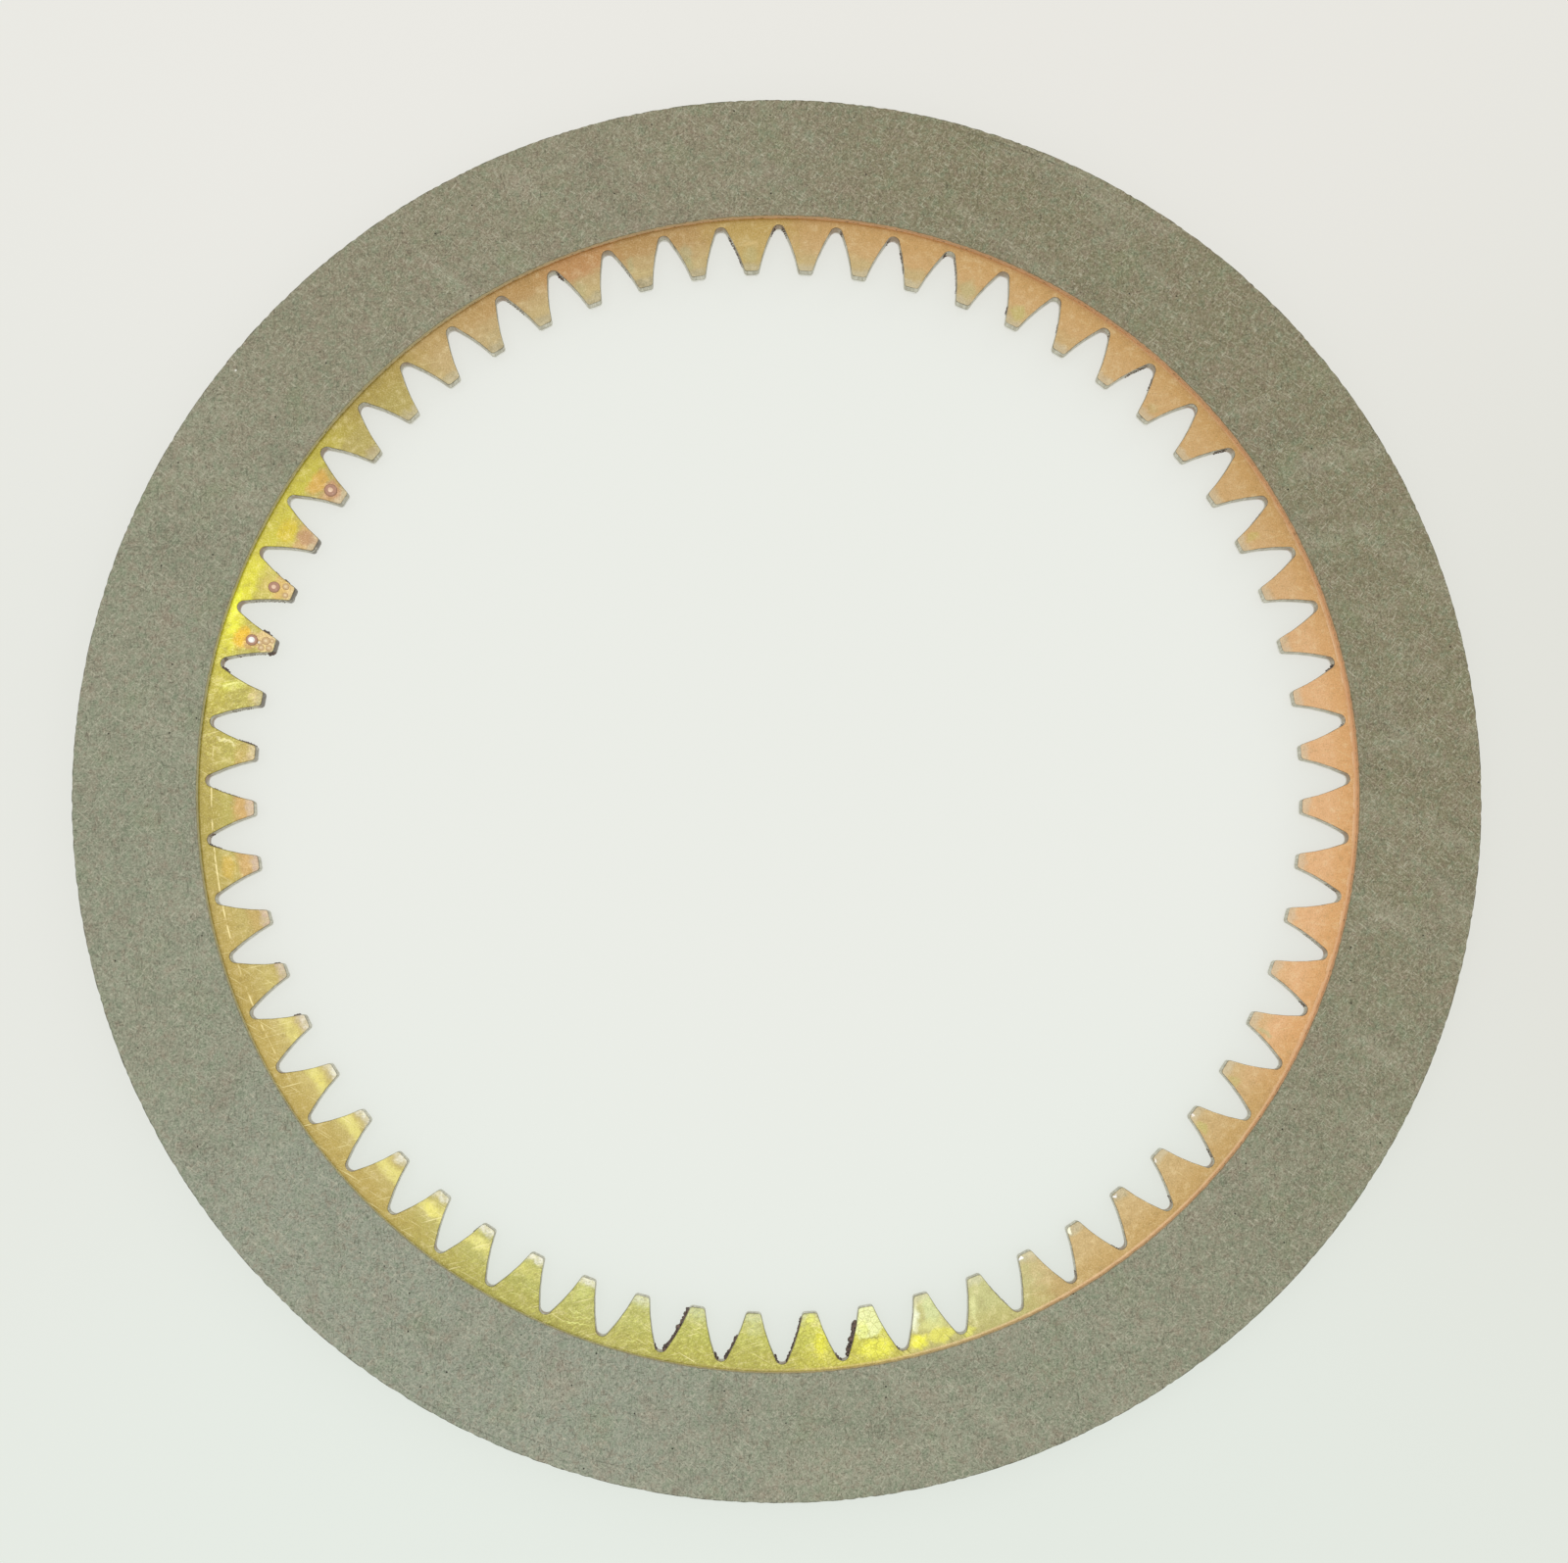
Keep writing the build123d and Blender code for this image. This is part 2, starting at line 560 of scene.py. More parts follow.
@dataclass(frozen=True)
class FilmedSteel:
    """Cold-rolled steel under a baked film of amber phenolic adhesive.

    The film is thin and copper on one side of the disc. It drained to the
    other, where it baked gold, then lemon yellow where it pooled; the brightest
    lemon yellow, near the facing, is partly that tint and partly a painted
    highlight. The tips keep less of it, and fine scratches from the press show
    through. The whitest tips and the white spots on them are painted highlights.
    """

    middle: float              # height of the disc's middle plane
    thin: str = "C3A876"
    drift_size: float = 1.1    # size of the waves in the tints' edges

    # Rows at 157, 162 and 276.5 degrees make the film lemon yellow near the facing: partly the film's tint,
    # partly a painted highlight.
    zones: tuple[Zone, ...] = tuple(Zone(*row) for row in (
        (54, 50, "D6AD75"), (350, 42, "ECB986"), (298, 13, "C2AE7A"), (314, 20, "CFAF78", 0.9),
        (212, 44, "C6B36C"), (254, 30, "B8B764"), (289, 10, "BFC280", 0.8), (159, 30, "C6B955"),
        (141, 13, "AE9E58", 0.95), (177, 20, "A69B40", 0.8), (157, 19, "C9C53A", 0.85, 77.9, 0, 0.7),
        (162, 7, "E2E232", 0.8, 78.5), (276.5, 8.5, "CFD048", 0.85, 74.2, 0, 1.2),
        (92, 46, "CBB682", 0.75, 0, 75.7, 0.8), (321, 22, "D3B884", 0.5, 0, 75.6, 0.8),
        (152, 9, "BE9262", 0.75, 0, 75.9), (187, 13, "CE9C64", 0.65, 0, 75.7, 0.7),
        (198, 9, "B29E56", 0.5), (264, 11, "B0B046", 0.7, 75.4), (93, 6, "C8AE62", 0.6),
        (111, 17, "BC8A56", 0.4, 77.5), (111, 5, "D08E66", 0.35, 77.2),
        (223.5, 25, "EDE386", 0.8, 74.7, 76.3),
    ))

    # Tints of the tips, where the film is thinner; the pale rows at 228 and 244 degrees are painted
    # highlights.
    tips: tuple[Zone, ...] = tuple(Zone(*row) for row in (
        (118, 34, "B4A680", 0.6, 0, 74.3, 0.5), (192, 24, "C6AA96", 0.6, 0, 74.1, 0.4),
        (228, 32, "EEEAD6", 0.75, 0, 73.8, 0.4), (262, 16, "C7CF93", 0.6, 0, 74.5, 0.8),
        (244, 15, "F2F0E0", 0.5, 0, 74.0, 0.4), (306, 10, "A09672", 0.35, 0, 74.4, 0.5),
        (105, 7, "94886A", 0.35, 0, 74.4, 0.5), (174, 8, "B29C58", 0.45, 0, 74.8, 0.5),
        (123, 6, "A39672", 0.2, 0, 75.9, 0.6),
    ))

    # Most rows are stains of the film. The near-white rows at 296-321 degrees are painted glints on the tips'
    # corners, and the lemon-yellow rows by the facing at 162-165 and 273-289 degrees are partly the film's
    # tint, partly a painted highlight.
    stains: tuple[FilmPatch, ...] = tuple(FilmPatch(*row) for row in (
        (147, 77.4, 2.4, 1.5, "D2A244", 0.8, 0, 0.5), (147, 75.1, 1.6, 1.7, "BE8A6C", 0.65, 0, 0.5),
        (153, 77.4, 2.4, 1.7, "CEB61A", 0.85, 0, 0.5), (152.7, 74.6, 1.4, 1.8, "B08260", 0.65, 0, 0.5),
        (159, 76.9, 1.5, 1.2, "C8AE5C", 0.5), (159, 74.6, 1.8, 2.1, "DAB068", 0.6, 0, 0.5),
        (165, 77.8, 2.3, 1.4, "E6B610", 0.95, 0, 0.5), (164.8, 74.5, 1.9, 1.9, "E2C08C", 0.75, 0, 0.6),
        (165.2, 76.3, 1.6, 1.3, "C48C5C", 0.6, 0, 0.5), (162, 79.9, 3.2, 0.8, "ECEE2C", 0.85),
        (164.2, 79.3, 1.6, 1.0, "ECEE2C", 0.5), (171, 74.3, 0.9, 1.0, "EAD2A0", 0.4),
        (170.1, 77.5, 1.0, 2.5, "DADE56", 0.5, 14, 0.2), (189, 77.2, 2.4, 1.5, "D6B044", 0.6),
        (141, 73.9, 1.2, 1.0, "A89066", 0.4), (170.0, 77.4, 0.25, 2.4, "F4F2A0", 0.5, 14),
        (175.8, 77.3, 0.25, 2.2, "F2E8B0", 0.6, -22), (209, 76.5, 0.25, 2.2, "F0D890", 0.5, 18),
        (213.2, 75.4, 1.2, 1.0, "EADB72", 0.5), (213, 77.1, 2.4, 1.3, "D4C076", 0.5),
        (231, 75.8, 1.5, 1.0, "F6EC80", 0.7), (237, 75.5, 1.6, 1.1, "F4EE98", 0.55),
        (249, 75.0, 1.2, 1.5, "D0D47C", 0.5), (249.2, 79.3, 3.0, 0.13, "E2E688", 0.8, 14),
        (249.4, 78.2, 2.4, 0.11, "E2E688", 0.75, 17), (248.9, 77.5, 1.8, 0.10, "E2E688", 0.6, 12),
        (255.2, 79.2, 2.6, 0.10, "DADC80", 0.6, 6), (242.6, 79.0, 1.8, 0.10, "DADC80", 0.6, 16),
        (267.2, 75.2, 1.4, 1.3, "C4C888", 0.5), (273.9, 77.4, 1.2, 2.6, "F0EA10", 0.55),
        (273, 73.8, 1.3, 1.0, "ECEE58", 0.6), (279, 74.9, 2.6, 2.6, "E8EEAC", 0.9, 0, 0.75),
        (278.4, 75.9, 0.8, 1.6, "E6EC72", 0.55), (279.4, 78.7, 3.2, 1.5, "F2F048", 0.75, 0, 0.5),
        (279, 77.25, 1.9, 0.12, "8E8A3A", 0.7, 0, 0.5),
        (285.4, 77.2, 2.2, 1.2, "DCDC88", 0.65, 0, 0.5), (285.6, 75.3, 1.5, 2.6, "D0DA9C", 0.7),
        (283.7, 79.1, 1.8, 1.2, "F2EE3E", 0.9), (286.0, 78.9, 2.6, 1.3, "E2DE5A", 0.8, 0, 0.5),
        (283.75, 76.0, 0.85, 2.7, "F2F6D8", 0.9, -13, 0.15),
        (289.8, 77.0, 0.7, 3.0, "E6E8A4", 0.6, -14, 0.1), (288.6, 79.6, 1.4, 0.9, "E0DE62", 0.7),
        (296.4, 73.4, 0.35, 0.4, "FFFFFF"), (302.4, 73.5, 0.4, 0.6, "FFFFE4"),
        (308.4, 73.4, 0.45, 0.45, "FFFFFF"), (314.3, 73.35, 0.3, 0.4, "FFFAF0"),
        (320.5, 73.2, 0.4, 0.3, "FFF6EC"), (320.2, 75.3, 0.7, 1.6, "C8C070", 0.6),
        (326.3, 75.2, 0.8, 1.5, "C9C078", 0.5), (332.2, 75.4, 0.6, 1.6, "BCC090", 0.5),
        (27.2, 75.2, 1.0, 1.2, "CDBE68", 0.5), (45, 74.9, 1.2, 1.0, "C0AE72", 0.4),
        (63, 75.0, 1.4, 1.6, "CBC074", 0.6), (69, 75.3, 1.6, 2.0, "C8BC88", 0.6),
        (93, 77.0, 1.6, 0.5, "E3C68A", 0.5, 8), (93, 75.4, 1.4, 1.6, "C2B884", 0.5),
        (100, 76.4, 1.2, 1.8, "B5B088", 0.5), (100, 75.0, 1.3, 1.6, "B6B688", 0.4),
        (112, 75.4, 1.2, 1.8, "B8B484", 0.4), (106, 76.6, 0.9, 1.6, "B4B486", 0.4),
    ))

    def build(self) -> Material:
        """Make the material.

        Returns:
            The filmed steel's material.
        """
        m = Finish("phenolic_filmed_steel", self.thin)
        clear = (m.unit, m.radius)
        place = self._wander(m)
        for zone in self.zones:
            m.tint(zone.tint, zone.factor(m))
        kept = m.add("Math", m.towards(72, 40), -0.2, 1.0, operation="MULTIPLY_ADD")
        base = m.product(m.ramp(m.radius, 76.5, 79.3), kept)
        m.tint(m.mix(1.0, m.colour, "F7F0DD", "MULTIPLY"), base)
        m.tint("D0CDB8", m.ramp(m.radius, 74.6, 73.5, 0.42))
        broken = m.ramp(m.noise(0.7, 21.0, 2.0, 0.6), 0.40, 0.60, 1.30, 0.45)
        # Tip tints, the palest of them painted highlights, broken up by noise.
        for zone in self.tips:
            m.tint(zone.tint, zone.factor(m), broken)
        upper = m.add("Math", m.height, self.middle, operation="GREATER_THAN")
        # Stains and a few painted highlights, on the upper face only.
        for film_patch in self.stains:
            m.tint(film_patch.tint, film_patch.factor(m, place), upper)
        m.unit, m.radius = clear
        height = self._texture(m)
        return m.close(
            Metallic=1.0, Roughness=m.ramp(height, 0.3, 0.7, 0.46, 0.34),
            Coat_Weight=0.4, Coat_Roughness=0.15, Coat_IOR=1.6, Normal=m.bump(height, 0.006),
        )

    def _wander(self, m: Finish) -> Socket:
        """Make the material's coordinates wander, so that the film's tints have uneven edges.

        Args:
            m: The material being made.

        Returns:
            The wandering coordinates.
        """
        drift = m.add("TexNoise", m.mm, links={"Scale": 1 / self.drift_size, "Detail": 3.0}, output="Color")
        wander = m.add("VectorMath", drift, (0.5, 0.5, 0.5), operation="SUBTRACT")
        wander = m.add("VectorMath", wander, (1.6, 1.6, 0), operation="MULTIPLY")
        far = m.add("VectorMath", wander, (3, 3, 0), operation="MULTIPLY")
        swayed = m.add("VectorMath", m.plane, far, operation="ADD")
        m.unit = m.add("VectorMath", swayed, operation="NORMALIZE")
        place = m.add("VectorMath", m.plane, wander, operation="ADD")
        m.radius = m.add("VectorMath", place, output="Value", operation="LENGTH")
        return place

    def _texture(self, m: Finish) -> Socket:
        """Mottle the film, scratch and craze it, and add the arcs that the press left near the facing.

        Args:
            m: The material being made.

        Returns:
            The film's height.
        """
        mottle = m.noise(0.9, 3.0, 3.0, 0.65)
        m.tint("8E7440", m.ramp(mottle, 0.50, 0.74, 0.22))
        m.tint("FFF0C4", m.ramp(mottle, 0.50, 0.28, 0.20))
        grain = m.noise(0.20, 5.0, 2.0, 0.7)
        m.tint("6E5A34", m.ramp(grain, 0.50, 0.72, 0.32))
        m.tint("FFF2CC", m.ramp(grain, 0.50, 0.28, 0.24))
        blistered = m.add("Math", m.towards(257, 32), m.towards(171, 9), operation="MAXIMUM")
        blisters = m.noise(0.26, 15.0, 3.0, 0.7, m.drawn(24, 2.2))
        m.tint("E8E880", m.ramp(blisters, 0.52, 0.68), blistered, 0.46)
        m.tint("86823A", m.ramp(blisters, 0.48, 0.34), blistered, 0.42)
        worn = m.add("Math", m.towards(238, 52), m.product(m.towards(173, 12), 0.5), operation="MAXIMUM")
        for bearing, seed in ((-31, 9.0), (14, 11.0)):
            scratches = m.ramp(m.noise(0.20, seed, 1.0, 0.5, m.drawn(bearing, 26)), 0.60, 0.76)
            m.tint("FFF4B8", scratches, m.add("Math", worn, 0.45, 0.16, operation="MULTIPLY_ADD"))
        gouges = m.ramp(m.noise(0.20, 13.0, 1.0, 0.5, m.drawn(-42, 22)), 0.60, 0.74)
        m.tint("6F6A2C", gouges, m.towards(284.5, 7), m.ramp(m.radius, 76.5, 78.5), 0.85)
        edge = m.add("TexVoronoi", m.mm, links={"Scale": 1 / 0.8}, feature="DISTANCE_TO_EDGE")
        m.tint("8E8420", m.ramp(edge, 0.09, 0.0), m.towards(275.5, 8), 0.42)
        broken = m.ramp(m.noise(1.6, 17.0), 0.42, 0.56)
        m.tint("FFEFB0", m.ramp(m.apart(m.radius, 78.85), 0.16, 0.04), m.towards(193, 22), broken, 0.65)
        m.tint("FFE0BC", m.ramp(m.apart(m.radius, 80.22), 0.14, 0.03), m.towards(0, 40), broken, 0.5)
        m.tint("FFDCB2", m.ramp(m.radius, 80.2, 80.5), m.towards(350, 100), 0.7)
        return m.add("Math", mottle, 0.5, m.product(grain, 0.5), operation="MULTIPLY_ADD")


@dataclass(frozen=True)
class ShearedSteel:
    """Wall of a stamped steel plate, under a trace of adhesive.

    The punch burnishes it and leaves upright score lines. Its upper edge, where
    rollover rounds it, is painted dark: painted shade. The torn lower part leans
    out and is painted near white: a painted reflection of the pale board.
    Adhesive stains it, and at the roots of the teeth it is painted brown: partly
    adhesive stain, partly painted shade.
    """

    top: float                 # height of the plate's upper face
    burnished: float = 1.65    # depth of the burnished part below it
    ragged: float = 0.7        # how far the parts' borders wander

    def build(self) -> Material:
        """Make the material.

        Returns:
            The wall's material.
        """
        m = Finish("sheared_steel_edge", "B4B09C")
        scores = m.noise(0.22, 1.0, 2.0, 0.6, m.add("VectorMath", m.mm, (1, 1, 0.1), operation="MULTIPLY"))
        m.tint("DEDBCC", m.ramp(scores, 0.35, 0.70))
        stained = m.noise(1.3, 4.4, 3.0, 0.7)
        m.tint("7A6748", m.ramp(stained, 0.54, 0.70, 0.50))
        level = m.add("Math", stained, self.ragged, m.height, operation="MULTIPLY_ADD")
        torn = self.top - self.burnished + self.ragged / 2
        # Painted reflection of the pale board on the torn lower part.
        m.tint("F2F1EA", m.ramp(level, torn + 0.04, torn - 0.10))
        m.tint("6A644E", m.ramp(m.apart(level, torn), 0.16, 0.04, 0.6))
        # Brown at the roots of the teeth: partly adhesive stain, partly painted shade.
        inside = m.add("Math", m.radius, TEETH_END / MM, operation="LESS_THAN")
        patchy = m.ramp(m.noise(2.2, 6.6), 0.40, 0.60)
        m.tint("96704C", m.ramp(m.radius, 78.5, 79.4), inside, patchy, 0.65)
        residue = m.ramp(stained, 0.36, 0.46)
        m.tint("4E3E34", m.ramp(m.radius, 73.9, 73.2), m.towards(163, 19), residue, 0.8)
        # Painted shade along the upper edge, where rollover rounds it.
        m.tint("4C4430", m.ramp(level, self.top + 0.14, self.top + 0.32, 0.85))
        roughness = m.ramp(scores, 0.3, 0.7, 0.52, 0.38)
        return m.close(Metallic=0.6, Roughness=roughness, Normal=m.bump(scores, 0.02))


@dataclass(frozen=True)
class BakedResin:
    """Phenolic adhesive that squeezed out and baked: brittle, dark brown crumbs with a dull gloss."""

    dark: str = "382A24"
    light: str = "7C6254"

    def build(self) -> Material:
        """Make the material.

        Returns:
            The crumbs' material.
        """
        m = Finish("baked_phenolic_resin", self.dark)
        crumbs = m.noise(0.35, 2.0, 3.0, 0.7)
        m.tint(self.light, m.ramp(crumbs, 0.38, 0.64))
        return m.close(Roughness=0.5, IOR=1.6, Normal=m.bump(crumbs, 0.08))


@dataclass(frozen=True)
class SqueezedResin:
    """Thin phenolic adhesive, squeezed out from under a facing: brown where it is thick, olive where thin."""

    brown_bearing: float = 30.0

    def build(self) -> Material:
        """Make the material.

        Returns:
            The bead's material.
        """
        m = Finish("squeezed_phenolic_resin", "7E7A58")
        brown = m.towards(self.brown_bearing, 150)
        m.tint("80603E", brown)
        m.tint(m.mix(brown, "C6C290", "D8A87C"), m.ramp(m.noise(0.5, 9.0, 3.0, 0.7), 0.34, 0.52))
        return m.close(Roughness=0.5, IOR=1.6)


@dataclass(frozen=True)
class ResinBead:
    """A drop of phenolic adhesive, hardened clear over steel.

    Its colour is painted by how steep its surface is: painted shade on the steep rim
    and a painted highlight in its middle, whitest on the large drop at 165 degrees.
    """

    name: str = "clear_phenolic_drop"
    rim: str = "9C7254"
    body: str = "BA8A70"
    painted_highlight: str = "EBC6A4"
    glint_colour: str = "FFFFFA"
    glint_bearing: float = 165.0    # where the large drop gets a painted glint in its middle

    def build(self) -> Material:
        """Make the material.

        Returns:
            The drops' material.
        """
        m = Finish(self.name, self.rim)
        # Painted shade and highlight by steepness: brown rim, lighter body, pale middle.
        m.tint(self.body, m.ramp(m.facing_up, 0.72, 0.955))
        m.tint(self.painted_highlight, m.ramp(m.facing_up, 0.986, 0.993))
        glint = m.product(m.towards(self.glint_bearing, 4), m.ramp(m.radius, 75.1, 75.3))
        m.tint(self.glint_colour, glint, m.ramp(m.facing_up, 0.970, 0.982))
        m.tint("7A5A40", m.ramp(m.noise(0.4, 6.0, 2.0), 0.50, 0.75, 0.25))
        return m.close(Roughness=0.12, IOR=1.6, Coat_Weight=0.5, Coat_Roughness=0.05)


@dataclass(frozen=True)
class PaleBoard:
    """Matt painted board under even light, on which the disc's shadow only just shows."""

    middle: str = "ECEEE8"
    edge: str = "E9EAE4"
    shaded: str = "E4E4DD"
    far: str = "EEEBE6"
    near: str = "E6EFE7"
    distant: str = "F0F1EE"
    self_lit: float = 0.80    # share of its look that comes from its colour alone
    contact: float = 0.1      # nearer than this it lets light through, so that the underside can be seen

    def build(self) -> Material:
        """Make the material.

        Returns:
            The board's material.
        """
        m = Finish("pale_matt_board", self.middle)
        # Painted fall-off of light: lighter round the middle and painted shade towards +X; also warmer
        # towards +Y and greener towards -Y.
        m.tint(self.edge, m.ramp(m.radius, 60.0, 105.0))
        m.tint(self.shaded, m.towards(0, 120), m.ramp(m.radius, 60.0, 120.0))
        m.tint(self.far, m.towards(90, 80), m.ramp(m.radius, 60.0, 120.0, 0.6))
        m.tint(self.near, m.towards(270, 80), m.ramp(m.radius, 20.0, 110.0, 0.6))
        m.tint(self.distant, m.ramp(m.radius, 250.0, 1200.0))
        lit = m.add("BsdfDiffuse", m.colour)
        glow = m.add("Emission", m.colour, 1.0)
        rays = m.add("LightPath").node.outputs
        seen = m.add("Math", rays["Is Camera Ray"], rays["Is Glossy Ray"], operation="MAXIMUM")
        share = m.add("Math", seen, self.self_lit, operation="MULTIPLY")
        from_below = m.product(m.add("NewGeometry", output="Backfacing"), rays["Is Camera Ray"])
        touching = m.add("Math", rays["Ray Length"], self.contact * MM, operation="LESS_THAN")
        opening = m.add("Math", from_below, touching, operation="MAXIMUM")
        board = m.add("MixShader", share, lit, glow)
        return m.surface(m.add("MixShader", opening, board, m.add("BsdfTransparent")))


# ---- the disc -------------------------------------------------------------

@dataclass
class CorePlate:
    """The stamped steel plate with its internal teeth."""

    edge_round: float = 0.12 * MM    # radius that tumbling gave its edges
    filmed: float = 0.6              # least height of a normal where the film covers it

    def build(self, film: Material, wall: Material) -> Piece:
        """Make the plate from a copy of the CAD plate, with its edges rounded.

        Args:
            film: Material of the two flat sides.
            wall: Material of the walls.

        Returns:
            The dressed plate.
        """
        form = bmesh.new()
        form.from_mesh(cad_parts[PLATE].data)
        bmesh.ops.remove_doubles(form, verts=form.verts, dist=1e-6)
        bmesh.ops.dissolve_limit(form, angle_limit=math.radians(0.5), verts=form.verts, edges=form.edges)
        square = math.radians(60)
        corners = [edge for edge in form.edges if edge.is_manifold and edge.calc_face_angle(0.0) > square]
        bmesh.ops.bevel(
            form, geom=corners, offset=self.edge_round, offset_type="OFFSET", segments=2, profile=0.5,
            affect="EDGES", material=-1, clamp_overlap=True,
        )
        bmesh.ops.triangulate(form, faces=form.faces)
        for face in form.faces:
            face.material_index = 0 if abs(face.normal.z) > self.filmed else 1
        plate = make_piece("core_plate_filmed", form, [film, wall], 35)
        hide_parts(PLATE)
        return plate


@dataclass
class Facing:
    """A friction-paper ring, bonded to one side of the plate."""

    side: Side                       # the side that it is bonded to
    fray: float = 0.12 * MM          # how far its cut outer edge wanders inwards
    edge_round: float = 0.08 * MM    # radius of its edges

    @property
    def node(self) -> str:
        """The CAD node that this ring stands for."""
        return f"{self.side.name.lower()}_facing"

    def build(self, paper: Material) -> Piece:
        """Make the ring: a rectangular section with rounded corners, spun round the axis.

        Args:
            paper: The ring's material.

        Returns:
            The dressed ring.
        """
        low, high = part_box(self.node)
        inner, outer = ring_inner(self.node), ring_outer(self.node)
        section = [(inner, low[2]), (outer, low[2]), (outer, high[2]), (inner, high[2])]
        form = spin_ring(section, self.edge_round)
        self._fray_edges(form, (inner + outer) / 2)
        ring = make_piece(f"{self.node}_paper", form, [paper], 40)
        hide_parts(self.node)
        return ring

    def _fray_edges(self, form: Form, middle: float) -> None:
        """Let the cut edges wander into the ring by up to a fibre's width, the inner one less.

        Args:
            form: The ring.
            middle: Radius that parts its inner edge from its outer one.
        """
        rng = random.Random(17 + self.side.value)
        outside = [rng.random() ** 3 * self.fray for _ in range(RING_STEPS)]
        inside = [rng.random() ** 3 * self.fray * 0.6 for _ in range(RING_STEPS)]
        for vert in form.verts:
            step = ring_step(vert)
            radius = vert.co.xy.length
            set_radius(vert, radius - outside[step] if radius > middle else radius + inside[step])


class ToothSpace:
    """The outline of one tooth space, read from the CAD plate, for placing things on its walls."""

    INWARD = 1.2 * MM       # how much nearer the axis the way out of a wall meets the middle line

    def __init__(self) -> None:
        """Fold the plate's inner outline onto half a space."""
        low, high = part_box(PLATE)
        self.bottom, self.top = low[2], high[2]
        found = set()
        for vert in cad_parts[PLATE].data.vertices:
            radius = vert.co.xy.length
            bearing = math.degrees(math.atan2(vert.co.y, vert.co.x))
            if radius < TEETH_END and 0 <= bearing < TOOTH_STEP / 2:
                found.add((round(radius, 6), round(bearing, 3)))
        self.outline = sorted(found)

    def wall(self, space: int, flank: Flank, radius: float, height: float) -> tuple[Vector, Vector]:
        """Point on a wall, and the direction out of the steel there.

        Args:
            space: Which tooth space, counted from +X.
            flank: Which of its walls.
            radius: Distance from the axis.
            height: Height above the lower friction face.

        Returns:
            The point and the direction.
        """
        before = max((p for p in self.outline if p[0] <= radius), default=self.outline[0])
        after = min((p for p in self.outline if p[0] > radius), default=self.outline[-1])
        share = (radius - before[0]) / max(after[0] - before[0], 1e-9)
        half = before[1] + (after[1] - before[1]) * min(max(share, 0.0), 1.0)
        bearing = space * TOOTH_STEP + flank.value * half
        point = polar(min(radius, self.outline[-1][0]), bearing, height)
        middle = polar(radius - self.INWARD, space * TOOTH_STEP, height)
        return point, (middle - point).normalized()


@dataclass(frozen=True)
class Crust:
    """A run of baked adhesive along the wall of a tooth space."""

    space: int      # which tooth space, counted from +X
    flank: Flank    # which of its walls
    start: float    # radius at which the run starts, in millimetres
    end: float      # radius at which it ends
    size: float     # largest half-size of its crumbs, in millimetres


@dataclass
class AdhesiveCrumbs:
    """Baked adhesive left on the walls of the tooth spaces."""

    name: str                  # the piece's name
    runs: tuple[Crust, ...]    # the runs of crumbs
    spacing: float = 0.75      # distance between crumbs along a run, over their half-size
    closest: float = 0.16      # least distance between crumbs along a run, in millimetres
    rows: Pair = (0.7, 1.7)    # height of each row above the plate's lower face, in millimetres
    tallest: float = 0.6       # largest half-height of a crumb, in millimetres
    kinds: int = 12            # how many different crumbs there are
    seed: int = 5              # seed of the crumbs' shapes

    def build(self, space: ToothSpace, resin: Material) -> Piece:
        """Make the crumbs: copies of a few broken lumps, sunk halfway into the walls.

        Args:
            space: The tooth space's outline.
            resin: The crumbs' material.

        Returns:
            All the crumbs as one piece.
        """
        rng = random.Random(self.seed)
        lumps = [self._lump(rng) for _ in range(self.kinds)]
        form = bmesh.new()
        for run in self.runs:
            step = max(run.size * self.spacing, self.closest)
            for index in range(int((run.end - run.start) / step) + 1):
                size = run.size * rng.uniform(0.5, 1.0)
                tall = size * 1.1
                for row in self.rows:
                    radius = run.start + (index + rng.uniform(-0.3, 0.3)) * step
                    height = min(space.bottom + (row + rng.uniform(-0.2, 0.2)) * MM, space.top - tall * MM)
                    point, out = space.wall(run.space, run.flank, radius * MM, height)
                    centre = point + out * size * rng.uniform(-0.2, 0.3) * MM
                    turn = Matrix.Rotation(rng.uniform(0, math.tau), 4, "Z")
                    scale = Matrix.Diagonal((size * MM, size * MM, min(tall, self.tallest) * MM, 1.0))
                    lump = rng.choice(lumps).copy()
                    lump.transform(Matrix.Translation(centre) @ scale @ turn)
                    form.from_mesh(lump)
                    bpy.data.meshes.remove(lump)
        for lump in lumps:
            bpy.data.meshes.remove(lump)
        return make_piece(self.name, form, [resin], 60)

    def _lump(self, rng: random.Random) -> bpy.types.Mesh:
        """Break one lump of unit half-size out of an icosphere.

        Args:
            rng: Source of its shape.

        Returns:
            The lump.
        """
        form = bmesh.new()
        bmesh.ops.create_icosphere(form, subdivisions=2, radius=1.0)
        for vert in form.verts:
            vert.co *= rng.uniform(0.68, 1.12)
        bmesh.ops.recalc_face_normals(form, faces=form.faces)
        lump = bpy.data.meshes.new("lump")
        form.to_mesh(lump)
        form.free()
        return lump


@dataclass(frozen=True)
class Drop:
    """A drop of clear adhesive on the plate's upper face."""

    bearing: float    # its middle, in degrees from +X
    radius: float     # its middle's distance from the axis, in millimetres
    size: float       # its radius in millimetres


